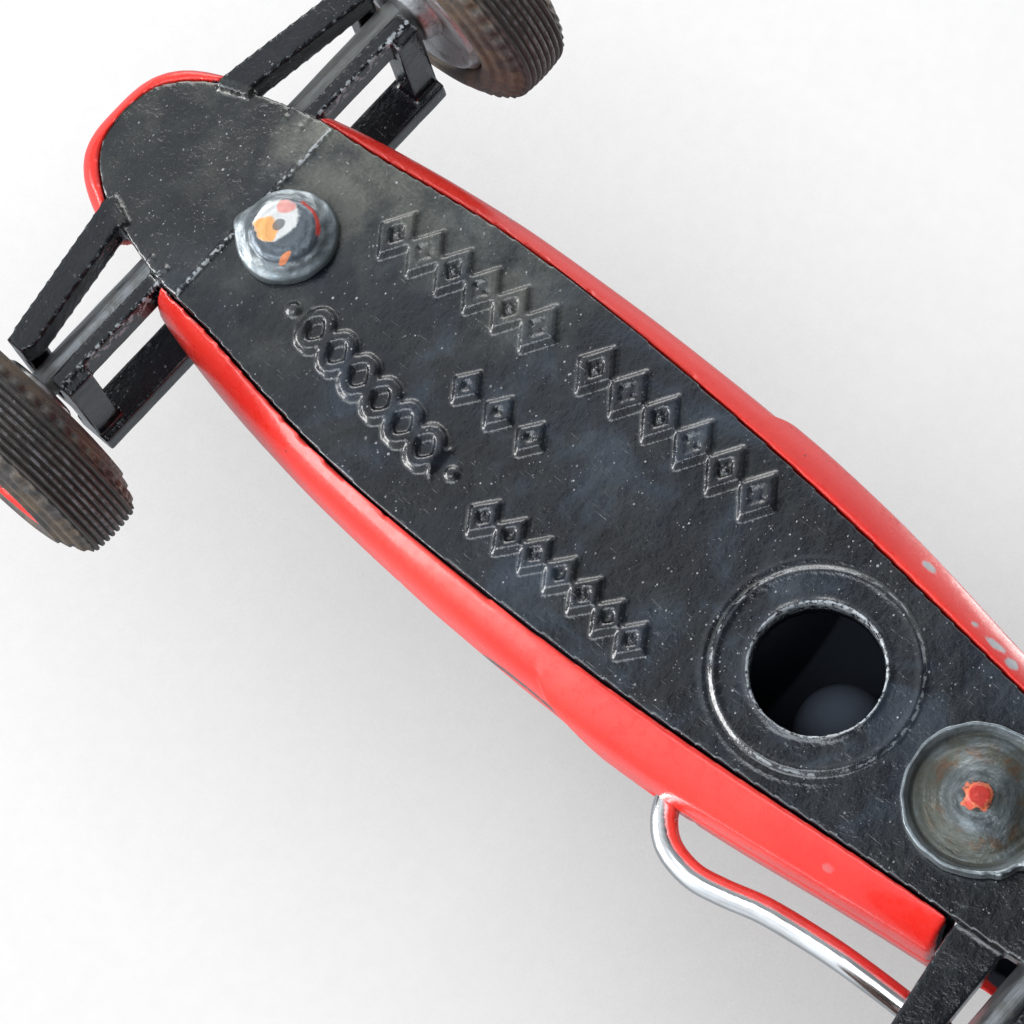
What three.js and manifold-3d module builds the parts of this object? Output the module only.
// Small die-cast single-seat racing car, about 1:43, millimetres, +Z up.
// The nose points along -Y and the wheels turn about X. The origin is on the
// ground under the middle of the car.
//
// Along the car every station is written as v, measured rearwards from the
// front rivet; heights are written above the flat underside of the base plate.
import * as THREE from 'three';
import { mergeVertices } from 'three/addons/utils/BufferGeometryUtils.js';
import Module from 'manifold-3d';

// ---------------------------------------------------------------- dimensions
const V0 = 24.9;             // station of the car's middle, so y = v - V0
const BASE_Z = 4.5;          // underside of the base plate above the ground
const PLATE_T = 1.3;         // base plate thickness
const NOSE_CREASE_V = -2.4;  // forward of this the plate slopes up
const NOSE_SLOPE = 0.133;    // rise per millimetre of the sloping nose plate
const PLATE_GAP = 0.13;      // half of the gap between the plate and the rim
const WALL = 0.95;           // body wall

const FRONT_AXLE_V = -5.3;   // wheelbase 51.3
const REAR_AXLE_V = 46.0;
const AXLE_Z = 2.6;          // axle centre above the plate's underside
const AXLE_R = 0.75;
const BORE_R = 0.85;         // running fit for the axle
const AXLE_HEAD_R = 1.3;
const AXLE_END_X = 18.2;     // outer end of the peened axle head

const TYRE_R = 7.1;
const TYRE_IN_X = 12.6;      // inner side of the tyre
const TYRE_OUT_X = 17.0;     // outer side of the tyre
const BEAD_R = 4.7;          // tyre seat on the hub
const HUB_R = 4.55;
const HUB_IN_X = 12.15;      // end of the inner boss
const HUB_OUT_X = 17.3;      // face that the axle head bears on

const HOLE_V = 31.2;         // round hole in the base plate
const HOLE_R = 2.89;
const PAD_R = 4.6;           // raised ring round the hole
const PAD_H = 0.2;

const FRONT_RIVET_V = -0.2;
const FRONT_HEAD_R = 2.3;
const FRONT_POST_R = 1.3;
const REAR_RIVET_V = 40.0;
const REAR_HEAD_R = 3.25;
const REAR_POST_R = 1.8;

const PIPE_R = 0.62;         // exhaust wire

// half-width of the opening in the body that the base plate fills
const OPENING = [
  [-11.45, 0.0], [-11.3, 1.1], [-10.8, 2.2], [-9.8, 3.15], [-8.4, 3.95], [-6.0, 4.7],
  [-3.6, 5.25], [0, 5.6], [4, 6.15], [8, 6.56], [12, 6.7], [16, 6.65], [20, 6.5],
  [24, 6.27], [28, 5.95], [32, 5.55], [36, 5.1], [40, 4.67], [42.5, 4.42], [46, 4.0],
  [49, 3.4], [50.6, 2.3], [51.2, 1.0], [51.4, 0.0],
];
// body: half-width, top, height of the widest line and bottom of the section
const BODY_W = [
  [-12.6, 0.4], [-12.45, 1.5], [-12.1, 2.4], [-11.4, 3.25], [-10.4, 3.95], [-9, 4.6], [-7, 5.25],
  [-5, 5.75], [-2.5, 6.35], [0, 6.85], [4, 7.45], [8, 7.85], [12, 8.05], [16, 8.15], [20, 8.15],
  [24, 8.05], [28, 7.75], [32, 7.25], [36, 6.6], [40, 6.0], [44, 5.5], [48, 5.0], [52, 4.4],
  [56, 3.6], [59, 2.8], [61, 2.0], [62, 1.2], [62.4, 0.4],
];
const BODY_T = [
  [-12.6, 4.1], [-12.45, 4.9], [-12.1, 5.6], [-11.4, 6.3], [-10.4, 7.0], [-9, 7.7], [-7, 8.45],
  [-5, 9.0], [-2.5, 9.6], [0, 10.1], [4, 10.8], [8, 11.4], [12, 12.0], [16, 12.3], [20, 12.3],
  [24, 12.6], [28, 13.5], [30, 13.8], [34, 13.5], [38, 12.8], [42, 11.9], [46, 11.0], [50, 10.0],
  [54, 8.9], [58, 7.5], [60.5, 6.5], [61.8, 5.6], [62.4, 4.9],
];
const BODY_C = [[-12.6, 3.7], [-5, 3.8], [10, 4.0], [40, 4.2], [62.4, 4.6]];
const BODY_B = [
  [-12.6, 3.3], [-12.45, 2.7], [-12.1, 2.1], [-11.4, 1.35], [-10.4, 0.75], [-9, 0.35], [-7, 0.0],
  [-5, -0.2], [-2.5, -0.35], [0, -0.4], [40, -0.4], [46, -0.25], [50, 0.1], [54, 0.9], [58, 2.1],
  [61, 3.3], [62.4, 4.3],
];
const N_LOW = 3.6;           // squareness of the lower half of the section
const N_UP = 2.25;           // and of the upper half

// ---------------------------------------------------------------- helpers
const wasm = await Module();
wasm.setup();

// smooth monotone interpolation through a table of [v, value]
function curve(table) {
  const x = table.map((p) => p[0]);
  const y = table.map((p) => p[1]);
  const n = x.length;
  const d = [];
  for (let i = 0; i < n - 1; i += 1) d.push((y[i + 1] - y[i]) / (x[i + 1] - x[i]));
  const m = [d[0]];
  for (let i = 1; i < n - 1; i += 1) {
    if (d[i - 1] * d[i] <= 0) m.push(0);
    else {
      const h0 = x[i] - x[i - 1];
      const h1 = x[i + 1] - x[i];
      const w1 = 2 * h1 + h0;
      const w2 = h1 + 2 * h0;
      m.push((w1 + w2) / (w1 / d[i - 1] + w2 / d[i]));
    }
  }
  m.push(d[n - 2]);
  return (q) => {
    if (q <= x[0]) return y[0];
    if (q >= x[n - 1]) return y[n - 1];
    let i = 0;
    while (q > x[i + 1]) i += 1;
    const h = x[i + 1] - x[i];
    const t = (q - x[i]) / h;
    const t2 = t * t;
    const t3 = t2 * t;
    return (2 * t3 - 3 * t2 + 1) * y[i] + (t3 - 2 * t2 + t) * h * m[i]
      + (-2 * t3 + 3 * t2) * y[i + 1] + (t3 - t2) * h * m[i + 1];
  };
}
const openingAt = curve(OPENING);
const widthAt = curve(BODY_W);
const topAt = curve(BODY_T);
const centreAt = curve(BODY_C);
const bottomAt = curve(BODY_B);

// a solid from any closed three.js geometry
function solid(geometry) {
  let g = geometry.clone();
  for (const name of Object.keys(g.attributes)) if (name !== 'position') g.deleteAttribute(name);
  g = mergeVertices(g, 1e-5);
  const pos = g.attributes.position.array;
  const idx = [];
  const src = g.index.array;
  for (let i = 0; i < src.length; i += 3) {
    const [a, b, c] = [src[i], src[i + 1], src[i + 2]];
    if (a !== b && b !== c && a !== c) idx.push(a, b, c);
  }
  let volume = 0;
  for (let i = 0; i < idx.length; i += 3) {
    const [a, b, c] = [idx[i] * 3, idx[i + 1] * 3, idx[i + 2] * 3];
    volume += pos[a] * (pos[b + 1] * pos[c + 2] - pos[b + 2] * pos[c + 1])
      - pos[a + 1] * (pos[b] * pos[c + 2] - pos[b + 2] * pos[c])
      + pos[a + 2] * (pos[b] * pos[c + 1] - pos[b + 1] * pos[c]);
  }
  if (volume < 0) for (let i = 0; i < idx.length; i += 3) [idx[i + 1], idx[i + 2]] = [idx[i + 2], idx[i + 1]];
  return new wasm.Manifold(new wasm.Mesh({
    numProp: 3,
    vertProperties: new Float32Array(pos),
    triVerts: new Uint32Array(idx),
  }));
}
function geometryOf(man) {
  const mesh = man.getMesh();
  const g = new THREE.BufferGeometry();
  const n = mesh.vertProperties.length / mesh.numProp;
  const p = new Float32Array(n * 3);
  for (let i = 0; i < n; i += 1) {
    for (let k = 0; k < 3; k += 1) p[i * 3 + k] = mesh.vertProperties[i * mesh.numProp + k];
  }
  g.setAttribute('position', new THREE.BufferAttribute(p, 3));
  g.setIndex(new THREE.BufferAttribute(new Uint32Array(mesh.triVerts), 1));
  g.computeVertexNormals();
  return g;
}
const union = (list) => list.reduce((a, b) => a.add(b));

// box given by its limits: x, v and height above the plate's underside
function box(x0, x1, v0, v1, z0, z1) {
  const g = new THREE.BoxGeometry(Math.abs(x1 - x0), v1 - v0, z1 - z0);
  g.translate((x0 + x1) / 2, (v0 + v1) / 2 - V0, (z0 + z1) / 2 + BASE_Z);
  return solid(g);
}
// round bar along X
function barX(r, x0, x1, v, z, sides = 24) {
  const g = new THREE.CylinderGeometry(r, r, Math.abs(x1 - x0), sides);
  g.rotateZ(Math.PI / 2);
  g.translate((x0 + x1) / 2, v - V0, z + BASE_Z);
  return solid(g);
}
// round bar along Z
function barZ(r, x, v, z0, z1, sides = 32) {
  const g = new THREE.CylinderGeometry(r, r, z1 - z0, sides);
  g.rotateX(Math.PI / 2);
  g.translate(x, v - V0, (z0 + z1) / 2 + BASE_Z);
  return solid(g);
}
// a prism standing on a flat outline of [x, v] points
function prism(outline, z0, z1) {
  const shape = new THREE.Shape(outline.map(([x, v]) => new THREE.Vector2(x, v - V0)));
  const g = new THREE.ExtrudeGeometry(shape, { depth: z1 - z0, bevelEnabled: false, steps: 1 });
  g.translate(0, 0, z0 + BASE_Z);
  return g;
}
// lift everything forward of the crease along the nose slope
function slopeNose(g) {
  const p = g.attributes.position;
  for (let i = 0; i < p.count; i += 1) {
    const v = p.getY(i) + V0;
    if (v < NOSE_CREASE_V) p.setZ(i, p.getZ(i) + (NOSE_CREASE_V - v) * NOSE_SLOPE);
  }
  return g;
}
// a solid of revolution about Z from a closed profile of [radius, height]
function turned(profile, sides) {
  const pts = profile.map(([r, z]) => new THREE.Vector2(r, z));
  const g = new THREE.LatheGeometry(pts, sides);
  g.rotateX(Math.PI / 2);
  return g;
}
// a solid lofted through closed rings of points
function loft(rings) {
  const m = rings[0].length;
  const pos = [];
  const idx = [];
  for (const ring of rings) for (const p of ring) pos.push(p.x, p.y, p.z);
  for (let i = 0; i < rings.length - 1; i += 1) {
    for (let j = 0; j < m; j += 1) {
      const a = i * m + j;
      const b = i * m + ((j + 1) % m);
      const c = (i + 1) * m + j;
      const d = (i + 1) * m + ((j + 1) % m);
      idx.push(a, b, d, a, d, c);
    }
  }
  for (const [k, flip] of [[0, true], [rings.length - 1, false]]) {
    const c = new THREE.Vector3();
    for (const p of rings[k]) c.add(p);
    c.divideScalar(m);
    pos.push(c.x, c.y, c.z);
    const centre = pos.length / 3 - 1;
    for (let j = 0; j < m; j += 1) {
      const a = k * m + j;
      const b = k * m + ((j + 1) % m);
      if (flip) idx.push(centre, b, a);
      else idx.push(centre, a, b);
    }
  }
  const g = new THREE.BufferGeometry();
  g.setAttribute('position', new THREE.BufferAttribute(new Float32Array(pos), 3));
  g.setIndex(idx);
  return g;
}
function bodySection(v, inset, sides) {
  const w = widthAt(v) - inset;
  const c = centreAt(v);
  const up = topAt(v) - inset - c;
  const down = c - bottomAt(v) - inset;
  const ring = [];
  for (let i = 0; i < sides; i += 1) {
    const t = (i / sides) * Math.PI * 2;
    const co = Math.cos(t);
    const si = Math.sin(t);
    const n = si >= 0 ? N_UP : N_LOW;
    ring.push(new THREE.Vector3(
      w * Math.sign(co) * Math.abs(co) ** (2 / n),
      v - V0,
      BASE_Z + c + (si >= 0 ? up : down) * Math.sign(si) * Math.abs(si) ** (2 / n),
    ));
  }
  return ring;
}

// ---------------------------------------------------------------- materials
const paint = (color, roughness = 0.3, metalness = 0.1) => new THREE.MeshStandardMaterial({ color, roughness, metalness });
const RED = () => paint(0xd8281c, 0.28, 0.1);
const BLACK = () => paint(0x16171a, 0.35, 0.1);
const ZINC = () => paint(0x7d8488, 0.45, 0.9);
const STEEL = () => paint(0x8d8f92, 0.35, 1.0);
const CHROME = () => paint(0xd5d7da, 0.12, 1.0);
const RUBBER = () => paint(0x2c2825, 0.8, 0.0);

const car = new THREE.Group();
function piece(name, geometry, material) {
  const mesh = new THREE.Mesh(geometry, material);
  mesh.name = name;
  car.add(mesh);
  return mesh;
}

// ---------------------------------------------------------------- base plate
function outline(inset, from, to, step) {
  const right = [];
  for (let v = from; v < to - 1e-6; v += step) right.push([openingAt(v) - inset, v]);
  right.push([openingAt(to) - inset, to]);
  const clean = right.filter((p) => p[0] > 0.05);
  return [...clean, ...clean.slice().reverse().map(([x, v]) => [-x, v])];
}
// suspension frame of one side: lower bar, end plate, leaf above, inner post
function suspension(s, axleV, arm) {
  const a = axleV;
  const list = [
    box(s * 3.2, s * 11.8, a + 0.78, a + 1.5, 1.0, 2.6),       // lower bar behind the axle
    box(s * 10.35, s * 11.8, a + 0.78, a + 2.1, 1.1, 7.6),     // end plate
    box(s * 3.9, s * 11.8, a + 0.45, a + 2.55, 6.5, 7.6),      // leaf
    box(s * 3.9, s * 5.0, a + 0.78, a + 1.55, 0.6, 7.4),       // inner post
    box(s * 10.6, s * 11.8, a - 1.9, a + 1.0, 3.6, 4.6),       // bridge over the axle
    box(s * 10.6, s * 11.8, a - 1.9, a - 1.05, 0.4, 4.3),      // outer end of the arm
    solid(prism(arm.map(([x, v]) => [s * x, v]), 0.3, 1.7)),   // arm ahead of the axle
  ];
  return union(list);
}
const frontArm = [[2.9, -8.3], [4.0, -8.45], [11.2, -7.25], [11.8, -6.9], [11.8, -6.2], [11.2, -5.9], [4.6, -6.95], [2.9, -6.6]];
const rearArm = [[2.4, 42.6], [4.4, 42.4], [11.0, 43.35], [11.8, 43.7], [11.8, 44.6], [11.2, 44.9], [2.4, 44.7]];

{
  const flat = solid(prism(outline(PLATE_GAP, NOSE_CREASE_V, 51.3, 2.3), 0, PLATE_T));
  const nose = solid(slopeNose(prism(outline(PLATE_GAP, -11.4, NOSE_CREASE_V + 0.0, 0.6), 0, PLATE_T)));
  let base = flat.add(nose);
  // a short bridge hides the seam between the flat and the sloping part
  base = base.add(box(-4.6, 4.6, NOSE_CREASE_V - 0.3, NOSE_CREASE_V + 0.3, 0.35, PLATE_T - 0.05));
  base = base.add(barZ(PAD_R, 0, HOLE_V, -PAD_H, 0.3, 48));
  for (const s of [1, -1]) {
    base = base.add(suspension(s, FRONT_AXLE_V, frontArm));
    base = base.add(suspension(s, REAR_AXLE_V, rearArm));
    // bearing bosses inside the body
    base = base.add(box(s * 2.3, s * 3.5, FRONT_AXLE_V - 1.6, FRONT_AXLE_V + 1.6, 0.9, 4.0));
    base = base.add(box(s * 1.7, s * 2.9, REAR_AXLE_V - 1.6, REAR_AXLE_V + 1.6, 0.9, 4.0));
  }
  base = base.subtract(barZ(HOLE_R, 0, HOLE_V, -2, 4, 48));
  base = base.subtract(barZ(FRONT_POST_R + 0.3, 0, FRONT_RIVET_V, -2, 4, 32));
  base = base.subtract(barZ(REAR_POST_R + 0.3, 0, REAR_RIVET_V, -2, 4, 32));
  base = base.subtract(barX(BORE_R + 0.02, -13, 13, FRONT_AXLE_V, AXLE_Z, 32));
  base = base.subtract(barX(BORE_R + 0.02, -13, 13, REAR_AXLE_V, AXLE_Z, 32));
  piece('base_plate', geometryOf(base), BLACK());
}

// ---------------------------------------------------------------- exhaust
const pipeLine = [
  [-6.3, 28.5, 5.4], [-7.4, 28.8, 5.4], [-8.5, 29.4, 5.4], [-9.25, 30.4, 5.4], [-9.5, 31.9, 5.4], [-9.2, 33.4, 5.4],
  [-8.65, 35.2, 5.4], [-8.3, 37.2, 5.35], [-8.05, 39.2, 5.3], [-7.9, 41.3, 5.3], [-7.8, 43.5, 5.3],
  [-7.6, 46.5, 5.3], [-7.35, 49.5, 5.3], [-7.1, 52.5, 5.4], [-6.9, 55.5, 5.5],
].map(([x, v, z]) => new THREE.Vector3(x, v - V0, z + BASE_Z));
{
  const circle = [];
  for (let i = 0; i < 10; i += 1) {
    const t = (i / 10) * Math.PI * 2;
    circle.push(new THREE.Vector2(PIPE_R * Math.cos(t), PIPE_R * Math.sin(t)));
  }
  const g = new THREE.ExtrudeGeometry(new THREE.Shape(circle), {
    steps: 38, bevelEnabled: false, extrudePath: new THREE.CatmullRomCurve3(pipeLine),
  });
  piece('exhaust_pipe', geometryOf(solid(g)), CHROME());
}

// ---------------------------------------------------------------- body
{
  const stations = [];
  for (const v of [-12.6, -12.45, -12.1, -11.4, -10.4, -9, -7, -5, -2.5]) stations.push(v);
  for (let v = 0; v <= 56; v += 3.5) stations.push(v);
  for (const v of [58, 59.6, 61, 61.8, 62.2, 62.4]) stations.push(v);
  let body = solid(loft(stations.map((v) => bodySection(v, 0, 32))));
  const inner = [-7, -5, -2.5, 0, 4, 8, 12, 16, 20, 24, 28, 31, 34, 38, 42, 46, 50, 54, 58];
  body = body.subtract(solid(loft(inner.map((v) => bodySection(v, WALL, 20)))));
  // trim the underside flush with the base plate
  const below = [[-20, NOSE_CREASE_V], [20, NOSE_CREASE_V], [20, 70], [-20, 70]];
  body = body.subtract(solid(prism(below, -6, 0)));
  const belowNose = [[-20, -20], [20, -20], [20, NOSE_CREASE_V + 0.001], [-20, NOSE_CREASE_V + 0.001]];
  body = body.subtract(solid(slopeNose(prism(belowNose, -6, 0))));
  // opening that the base plate fills
  body = body.subtract(solid(prism(outline(-PLATE_GAP, NOSE_CREASE_V, 51.35, 2.3), -3, 3.2)));
  body = body.subtract(solid(slopeNose(prism(outline(-PLATE_GAP, -11.4, NOSE_CREASE_V + 0.001, 0.6), -3, PLATE_T + 0.4))));
  // side cut-outs for the suspension
  for (const s of [1, -1]) {
    body = body.subtract(box(s * 3.6, s * 9, -8.75, -3.45, -2, 8.0));
    body = body.subtract(box(s * 3.6, s * 9, -5.2, -2.4, 6.1, 8.0));
    body = body.subtract(box(s * 2.1, s * 9, 42.1, 48.95, -2, 8.0));
  }
  // room for the bearing bosses and both axles
  body = body.subtract(box(-3.9, 3.9, -8.75, -3.4, 0, 4.5));
  body = body.subtract(box(-3.9, 3.9, 44.0, 48.0, 0, 4.5));
  // cockpit
  const cockpit = [];
  for (let i = 0; i < 32; i += 1) {
    const t = (i / 32) * Math.PI * 2;
    const c = Math.cos(t);
    const q = Math.sin(t);
    cockpit.push([4.9 * Math.sign(c) * Math.abs(c) ** 0.8, 21.4 + 6.7 * Math.sign(q) * Math.abs(q) ** 0.8]);
  }
  body = body.subtract(solid(prism(cockpit, 6.5, 20)));
  // air intake in the nose, a blind oval
  const intake = new THREE.SphereGeometry(1, 20, 10);
  intake.scale(2.1, 1.5, 1.15);
  intake.translate(0, -12.7 - V0, BASE_Z + 4.0);
  body = body.subtract(solid(intake));
  // rounded boss hanging from the roof over the hole in the base plate
  const knob = new THREE.SphereGeometry(1.75, 16, 8);
  knob.translate(-0.9, 33.0 - V0, BASE_Z + 6.2);
  body = body.add(solid(knob).add(barZ(1.7, -0.9, 33.0, 6.2, 12.6, 16)));
  // hole for the exhaust
  const dir = new THREE.Vector3().subVectors(pipeLine[1], pipeLine[0]).normalize();
  const drill = new THREE.CylinderGeometry(PIPE_R + 0.3, PIPE_R + 0.3, 5, 20);
  drill.applyQuaternion(new THREE.Quaternion().setFromUnitVectors(new THREE.Vector3(0, 1, 0), dir));
  drill.translate(pipeLine[1].x, pipeLine[1].y, pipeLine[1].z);
  body = body.subtract(solid(drill));
  piece('body_shell', geometryOf(body), RED());
}

// ---------------------------------------------------------------- rivets
// Each is a post spun over under the base plate.
function rivet(name, v, headR, postR, top, profile) {
  const post = [[0, top], [0, profile[0][1]], ...profile.slice(1), [headR, -0.32], [postR, -0.3], [postR, top]];
  const g = turned(post.map(([r, z]) => [r, z]).concat([[0, top]]), 32);
  g.translate(0, v - V0, BASE_Z);
  piece(name, geometryOf(solid(g)), ZINC());
}
rivet('front_rivet', FRONT_RIVET_V, FRONT_HEAD_R, FRONT_POST_R, 8.8,
  [[0, -1.15], [1.1, -1.15], [1.55, -1.0], [2.05, -0.7], [2.3, -0.45]]);
rivet('rear_rivet', REAR_RIVET_V, REAR_HEAD_R, REAR_POST_R, 10.4,
  [[0, -1.3], [0.5, -1.25], [1.3, -1.0], [2.3, -0.62], [2.8, -0.58], [3.05, -0.85], [3.2, -0.8]]);

// ---------------------------------------------------------------- axles and wheels
function axle(name, v) {
  const e = AXLE_END_X;
  const h = HUB_OUT_X + 0.2;
  const half = [[AXLE_R, 0], [AXLE_R, h], [AXLE_HEAD_R, h], [AXLE_HEAD_R, h + 0.3], [0.95, e - 0.15], [0.5, e], [0, e]];
  const profile = [...half.slice().reverse().map(([r, x]) => [r, -x]).slice(0, -1), ...half.slice(1)];
  const g = turned(profile, 24);
  g.rotateY(Math.PI / 2);
  g.translate(0, v - V0, AXLE_Z + BASE_Z);
  piece(name, geometryOf(solid(g)), STEEL());
}
axle('front_axle', FRONT_AXLE_V);
axle('rear_axle', REAR_AXLE_V);

function placeWheel(g, s, v) {
  g.rotateY((s * Math.PI) / 2);
  g.translate(0, v - V0, AXLE_Z + BASE_Z);
  return g;
}
function hubGeometry(s, v) {
  const r = HUB_R;
  const profile = [
    [BORE_R, HUB_IN_X], [1.9, HUB_IN_X], [2.0, HUB_IN_X + 0.9], [r, TYRE_IN_X + 0.4],
    [r, TYRE_OUT_X - 0.4], [3.6, TYRE_OUT_X - 0.7], [1.7, HUB_OUT_X], [BORE_R, HUB_OUT_X], [BORE_R, HUB_IN_X],
  ];
  return placeWheel(turned(profile, 28), s, v);
}
function tyreGeometry(s, v) {
  const a = TYRE_IN_X;
  const b = TYRE_OUT_X;
  const R = TYRE_R;
  const profile = [
    [BEAD_R, a + 0.2], [5.3, a], [6.1, a + 0.25], [6.7, a + 0.7], [R, a + 1.2],
    [R, b - 1.2], [6.7, b - 0.7], [6.1, b - 0.25], [5.3, b], [BEAD_R, b - 0.2], [BEAD_R, a + 0.2],
  ];
  return placeWheel(turned(profile, 28), s, v);
}
for (const [where, v] of [['front', FRONT_AXLE_V], ['rear', REAR_AXLE_V]]) {
  for (const [side, s] of [['left', 1], ['right', -1]]) {
    piece(`${where}_${side}_hub`, geometryOf(solid(hubGeometry(s, v))), paint(0xa9a9a6, 0.4, 0.8));
    piece(`${where}_${side}_tyre`, geometryOf(solid(tyreGeometry(s, v))), RUBBER());
  }
}

// ---------------------------------------------------------------- driver
const DRIVER_V = 24.4;
{
  const ball = (rx, ry, rz, x, v, z, rot = 0) => {
    const g = new THREE.SphereGeometry(1, 14, 9);
    g.scale(rx, ry, rz);
    g.rotateX(rot);
    g.translate(x, v - V0, z + BASE_Z);
    return solid(g);
  };
  const limb = (pts, r) => {
    const circle = [];
    for (let i = 0; i < 8; i += 1) circle.push(new THREE.Vector2(r * Math.cos((i * Math.PI) / 4), r * Math.sin((i * Math.PI) / 4)));
    const line = new THREE.CatmullRomCurve3(pts.map(([x, v, z]) => new THREE.Vector3(x, v - V0, z + BASE_Z)));
    return solid(new THREE.ExtrudeGeometry(new THREE.Shape(circle), { steps: 6, bevelEnabled: false, extrudePath: line }));
  };
  let driver = ball(3.55, 2.2, 4.9, 0, DRIVER_V + 0.6, 9.2, -0.16);      // trunk
  driver = driver.add(ball(2.9, 3.6, 2.2, 0, DRIVER_V - 0.6, 5.6));      // hips
  driver = driver.add(ball(1.25, 1.3, 1.8, 0, DRIVER_V + 0.3, 14.0));    // neck
  driver = driver.add(ball(2.2, 2.5, 2.8, 0, DRIVER_V, 16.6));           // head
  driver = driver.add(ball(2.6, 2.85, 2.2, 0, DRIVER_V + 0.15, 17.6));   // helmet
  for (const s of [1, -1]) {
    driver = driver.add(limb([[s * 2.7, DRIVER_V + 0.5, 12.3], [s * 3.55, DRIVER_V - 1.4, 10.6], [s * 2.8, 20.3, 10.9], [s * 1.95, 19.2, 12.1]], 0.85));
  }
  piece('driver', geometryOf(driver), paint(0xe6e2d8, 0.5, 0));
}

// ---------------------------------------------------------------- steering wheel
{
  const rim = [];
  for (let i = 0; i <= 8; i += 1) {
    const t = (i / 8) * Math.PI * 2;
    rim.push([2.35 + 0.26 * Math.cos(t), 0.26 * Math.sin(t)]);
  }
  rim[8] = rim[0].slice();
  let wheel = solid(turned(rim, 28));
  const hub = new THREE.CylinderGeometry(0.55, 0.55, 0.5, 16);
  hub.rotateX(Math.PI / 2);
  wheel = wheel.add(solid(hub));
  for (let i = 0; i < 3; i += 1) {
    const spoke = new THREE.BoxGeometry(2.2, 0.42, 0.26);
    spoke.translate(1.2, 0, 0);
    spoke.rotateZ(Math.PI / 2 + (i * 2 * Math.PI) / 3);
    wheel = wheel.add(solid(spoke));
  }
  const column = new THREE.CylinderGeometry(0.3, 0.3, 4.0, 12);
  column.rotateX(Math.PI / 2);
  column.translate(0, 0, -2.0);
  wheel = wheel.add(solid(column));
  const g = geometryOf(wheel);
  g.rotateX(-1.12);
  g.translate(0, 17.9 - V0, 11.6 + BASE_Z);
  piece('steering_wheel', g, paint(0x1b1b1b, 0.4, 0.1));
}

export default car;
